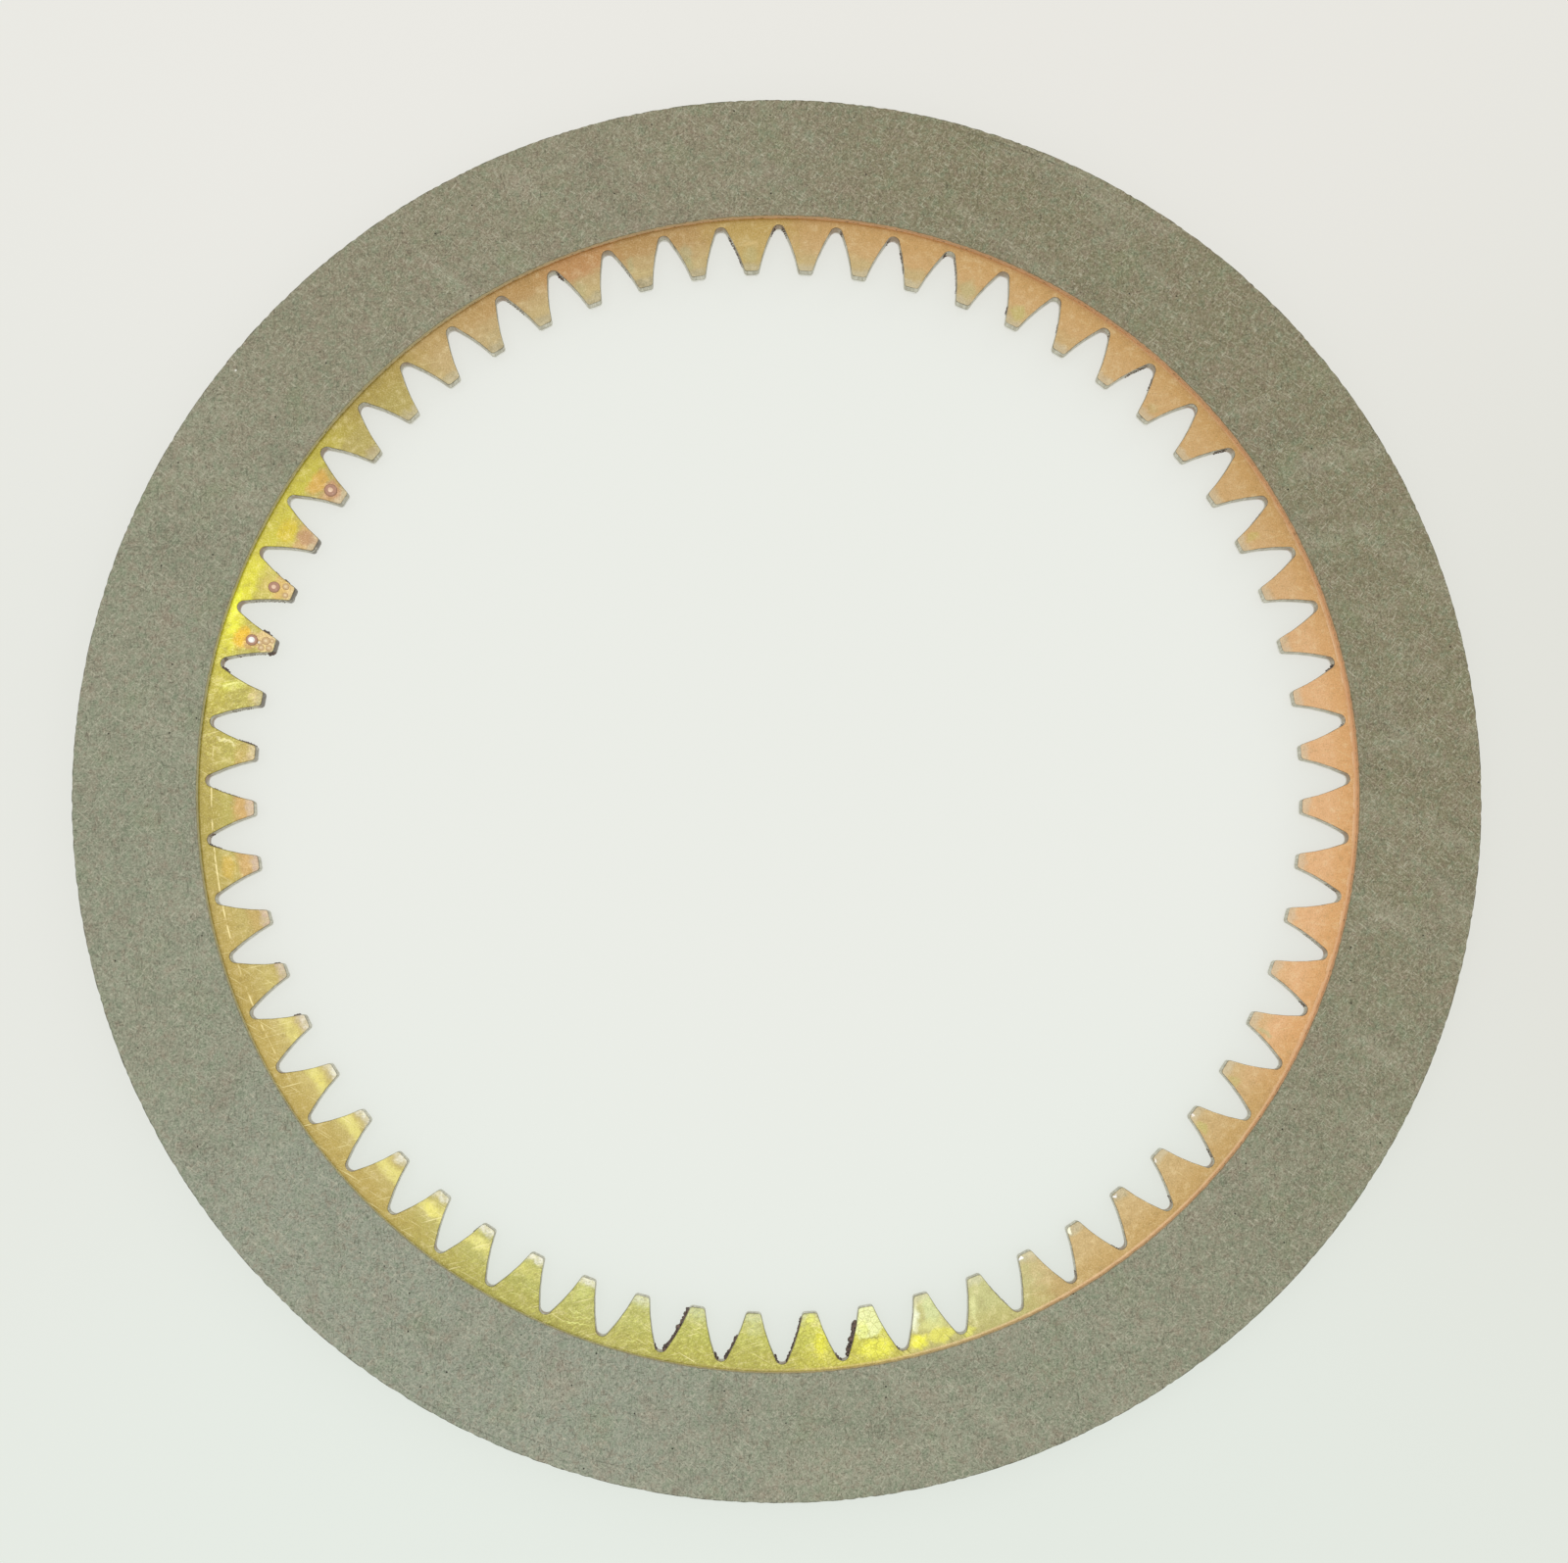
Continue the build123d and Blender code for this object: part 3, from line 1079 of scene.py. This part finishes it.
@dataclass
class ClearDrops:
    """Drops of clear adhesive on the plate, near the tips of a few teeth."""

    name: str                  # the piece's name
    drops: tuple[Drop, ...]    # the drops
    height: float = 0.34       # height of a drop over its radius
    width: float = 0.93        # its width over its length along the tooth

    def build(self, top: float, resin: Material) -> Piece:
        """Make the drops: halved and flattened spheres, seated on the plate.

        Args:
            top: Height of the plate's upper face.
            resin: The drops' material.

        Returns:
            All the drops as one piece.
        """
        form = bmesh.new()
        flatten = Matrix.Diagonal((1.0, self.width, self.height, 1.0))
        for drop in self.drops:
            centre = polar(drop.radius * MM, drop.bearing, top - SUNK)
            turn = Matrix.Rotation(math.radians(drop.bearing), 4, "Z")
            bmesh.ops.create_uvsphere(
                form, u_segments=40, v_segments=24, radius=drop.size * MM,
                matrix=Matrix.Translation(centre) @ turn @ flatten,
            )
        cut = bmesh.ops.bisect_plane(
            form, geom=form.verts[:] + form.edges[:] + form.faces[:], plane_co=(0, 0, top - SUNK),
            plane_no=(0, 0, 1), clear_inner=True,
        )
        rim = [edge for edge in cut["geom_cut"] if isinstance(edge, bmesh.types.BMEdge)]
        bmesh.ops.holes_fill(form, edges=rim, sides=0)
        bmesh.ops.recalc_face_normals(form, faces=form.faces)
        return make_piece(self.name, form, [resin], 50, flats=False)


@dataclass
class AdhesiveBead:
    """The thin bead of adhesive that squeezed out along a facing's inner edge."""

    side: Side                     # the side of the plate that it is on
    reach: float = 0.08 * MM       # largest distance that it reaches in from the facing
    rise: float = 0.20 * MM        # its height against the facing
    buried: float = 0.05 * MM      # how far it goes into the facing
    sunk: float = 0.02 * MM        # how far it goes into the plate
    thick_bearing: float = 50.0    # where it is thickest, in degrees from +X

    def build(self, seat: float, inner: float, resin: Material) -> Piece:
        """Make the bead: a small wedge spun round the axis, then made uneven.

        Args:
            seat: Height of the plate's face that it lies on.
            inner: Inner radius of the facing.
            resin: The bead's material.

        Returns:
            The bead.
        """
        up = self.side.value
        toe, crest = (-self.reach, -self.sunk), (-self.reach * 0.35, self.rise * 0.6)
        wedge = ((self.buried, -self.sunk), toe, crest, (self.buried, self.rise))
        form = spin_ring([(inner + out, seat + up * rise) for out, rise in wedge])
        rng = random.Random(23 + up)
        uneven = [rng.random() ** 2 for _ in range(RING_STEPS)]
        for vert in form.verts:
            radius = vert.co.xy.length
            if radius < inner:
                bearing = math.atan2(vert.co.y, vert.co.x)
                share = 0.55 + 0.45 * math.cos(bearing - math.radians(self.thick_bearing))
                share *= 0.3 + 0.7 * uneven[ring_step(vert)]
                set_radius(vert, inner - (inner - radius) * share)
        return make_piece(f"{self.side.name.lower()}_adhesive_bead", form, [resin], 60)


@dataclass(frozen=True)
class Panel:
    """A round studio light."""

    name: str                            # its name
    place: tuple[float, float, float]    # its middle, in metres
    size: float                          # its diameter
    power: float                         # its power in watts

    def build(self) -> None:
        """Hang the light, turned to the disc."""
        lamp = bpy.data.lights.new(self.name, "AREA")
        lamp.shape = "DISK"
        lamp.size = self.size
        lamp.energy = self.power
        holder = bpy.data.objects.new(self.name, lamp)
        bpy.context.collection.objects.link(holder)
        holder.location = self.place
        holder.rotation_euler = Vector(self.place).to_track_quat("Z", "Y").to_euler()


@dataclass
class Studio:
    """Floor, lights and camera."""

    panels: tuple[Panel, ...] = (
        Panel("left_panel", (-0.21, 0.10, 0.60), 0.20, 0.16),
        Panel("near_panel", (0.03, -0.15, 0.60), 0.20, 0.12),
        Panel("far_panel", (0.45, 0.52, 0.42), 0.14, 0.22),
    )
    sky: float = 0.90                      # strength of the even light from all round
    image_width: int = 1600                # width of the finished image in pixels
    focal_pixels: float = 2220.6           # focal length in pixels of that image
    distance: float = 302.0 * MM           # from the point that the camera aims at to the camera
    lean: Pair = (-0.0164, -0.1000)        # how far it stands to +X and +Y, in parts of the distance
    roll: float = 0.173                    # how far the image is turned, in degrees
    aim: Pair = (0.51 * MM, -0.38 * MM)    # the point on the upper friction face that it aims at
    floor_radius: float = 5.0              # radius of the board, in metres
    floor_gap: float = 0.03 * MM           # how far the board lies below the disc

    def build(self) -> None:
        """Set the scene round the disc."""
        self._floor()
        self._sky()
        for panel in self.panels:
            panel.build()
        self._camera()

    def _floor(self) -> None:
        """Lay a board under the disc."""
        form = bmesh.new()
        bmesh.ops.create_circle(form, cap_ends=True, segments=96, radius=self.floor_radius)
        mesh = bpy.data.meshes.new("floor")
        form.to_mesh(mesh)
        form.free()
        mesh.materials.append(PaleBoard().build())
        floor = bpy.data.objects.new("floor", mesh)
        floor.location.z = -self.floor_gap
        bpy.context.collection.objects.link(floor)

    def _sky(self) -> None:
        """Surround the disc with even, pale light."""
        world = bpy.data.worlds.new("studio")
        bpy.context.scene.world = world
        world.use_nodes = True
        world.node_tree.nodes.clear()
        light = add_node(world.node_tree, "Background", linear("FAFBF9"), self.sky)
        add_node(world.node_tree, "OutputWorld", light.outputs[0])

    def _camera(self) -> None:
        """Look down at the disc, leaning a little towards its near side."""
        camera = bpy.data.cameras.new("camera")
        camera.sensor_fit = "HORIZONTAL"
        camera.lens = camera.sensor_width * self.focal_pixels / self.image_width
        camera.clip_start = 0.01
        holder = bpy.data.objects.new("camera", camera)
        bpy.context.collection.objects.link(holder)
        away = Vector((*self.lean, math.sqrt(1 - self.lean[0] ** 2 - self.lean[1] ** 2)))
        turn = math.radians(self.roll)
        right = Vector((math.sin(turn), math.cos(turn), 0)).cross(away).normalized()
        axes = Matrix((right, away.cross(right), away)).transposed()
        aim = Vector((*self.aim, CAD_BOX[1][2]))
        holder.matrix_world = Matrix.Translation(aim + away * self.distance) @ axes.to_4x4()
        bpy.context.scene.camera = holder


ROUND_DROPS = (Drop(147.0, 75.25, 0.95), Drop(159.0, 75.8, 0.85), Drop(165.05, 76.3, 0.86))

DRIPS = (
    Drop(165.45, 73.7, 0.48), Drop(164.75, 74.35, 0.60), Drop(165.6, 74.75, 0.45), Drop(164.6, 73.5, 0.36),
    Drop(165.1, 75.1, 0.40), Drop(158.5, 74.3, 0.50), Drop(159.4, 73.9, 0.42),
)

AHEAD, BEHIND = Flank.AHEAD, Flank.BEHIND

BROWN_RUNS = tuple(Crust(*run) for run in (
    (27, AHEAD, 74.3, 75.1, 0.34), (28, BEHIND, 73.1, 73.7, 0.26), (26, AHEAD, 74.5, 75.1, 0.20),
    (26, AHEAD, 76.2, 76.6, 0.14), (33, AHEAD, 73.7, 74.3, 0.18), (31, BEHIND, 79.0, 79.6, 0.14),
    (39, AHEAD, 73.8, 74.8, 0.10), (46, BEHIND, 79.0, 79.65, 0.26), (47, BEHIND, 79.2, 79.6, 0.14),
    (43, AHEAD, 73.8, 79.3, 0.52), (44, AHEAD, 76.4, 79.5, 0.38), (45, AHEAD, 73.8, 79.5, 0.24),
    (46, AHEAD, 75.4, 79.4, 0.62), (43, BEHIND, 79.0, 79.6, 0.18), (44, BEHIND, 78.9, 79.65, 0.28),
    (45, BEHIND, 78.9, 79.65, 0.28), (49, BEHIND, 75.2, 78.4, 0.08), (28, AHEAD, 78.7, 79.6, 0.34),
    (28, BEHIND, 79.3, 79.6, 0.24), (28, BEHIND, 74.2, 78.0, 0.10), (27, BEHIND, 74.0, 78.6, 0.10),
    (29, BEHIND, 74.4, 77.0, 0.10), (29, AHEAD, 73.3, 75.4, 0.20), (30, AHEAD, 75.0, 78.6, 0.10),
    (34, AHEAD, 73.8, 74.4, 0.24), (16, BEHIND, 74.2, 78.6, 0.14), (13, BEHIND, 75.2, 78.2, 0.12),
    (12, BEHIND, 74.6, 79.4, 0.11), (12, AHEAD, 79.0, 79.6, 0.16), (13, AHEAD, 79.0, 79.6, 0.16),
    (14, BEHIND, 79.0, 79.6, 0.14), (15, AHEAD, 78.6, 79.6, 0.15), (15, BEHIND, 78.4, 79.6, 0.14),
    (19, BEHIND, 78.3, 79.5, 0.20), (20, BEHIND, 76.2, 79.2, 0.10), (18, BEHIND, 75.5, 77.5, 0.08),
    (8, AHEAD, 76.2, 79.4, 0.15), (8, BEHIND, 77.0, 78.6, 0.15), (6, AHEAD, 77.6, 79.2, 0.17),
    (11, BEHIND, 74.7, 75.4, 0.18), (10, BEHIND, 75.6, 76.6, 0.10), (9, BEHIND, 79.2, 79.6, 0.16),
    (2, BEHIND, 78.9, 79.6, 0.28), (1, BEHIND, 79.2, 79.6, 0.14), (5, BEHIND, 76.4, 78.2, 0.07),
    (57, AHEAD, 76.2, 79.0, 0.09), (58, AHEAD, 77.6, 79.3, 0.12), (56, AHEAD, 78.6, 79.4, 0.14),
    (53, AHEAD, 78.0, 79.0, 0.14), (52, AHEAD, 78.4, 79.3, 0.12), (51, BEHIND, 78.6, 79.5, 0.12),
    (50, AHEAD, 78.6, 79.3, 0.12), (31, AHEAD, 78.2, 79.5, 0.16),
))


def main() -> None:
    """Build the disc, dress it and set the scene."""
    logging.basicConfig(level=logging.INFO, format="%(message)s")
    bpy.context.scene.view_settings.view_transform = "Standard"
    low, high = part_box(PLATE)
    facing_inner = ring_inner("upper_facing")
    middle = (low[2] + high[2]) / 2 / MM
    facing_outer = ring_outer("upper_facing")

    paper = FrictionPaper(facing_inner / MM, facing_outer / MM, middle, CAD_BOX[1][2] / 2 / MM).build()
    film = FilmedSteel(middle).build()
    wall = ShearedSteel(high[2] / MM).build()
    resin = BakedResin().build()
    squeezed = SqueezedResin().build()
    clear = ResinBead().build()
    drip = ResinBead("amber_phenolic_drip", "AE8452", "D6B27C", "E8CC98").build()

    pieces = [CorePlate().build(film, wall)]
    space = ToothSpace()
    for side, seat in ((Side.UPPER, high[2]), (Side.LOWER, low[2])):
        pieces.append(Facing(side).build(paper))
        pieces.append(AdhesiveBead(side).build(seat, facing_inner, squeezed))
    pieces.append(AdhesiveCrumbs("adhesive_crumbs", BROWN_RUNS).build(space, resin))
    pieces.append(ClearDrops("clear_adhesive_drops", ROUND_DROPS).build(high[2], clear))
    pieces.append(ClearDrops("amber_adhesive_drips", DRIPS, 0.28).build(high[2], drip))
    for piece in pieces:
        log.info("%s: %d faces", piece.name, len(piece.data.polygons))
    Studio().build()
    log.info("studio: floor, lights and camera")


if __name__ == "__main__":
    main()
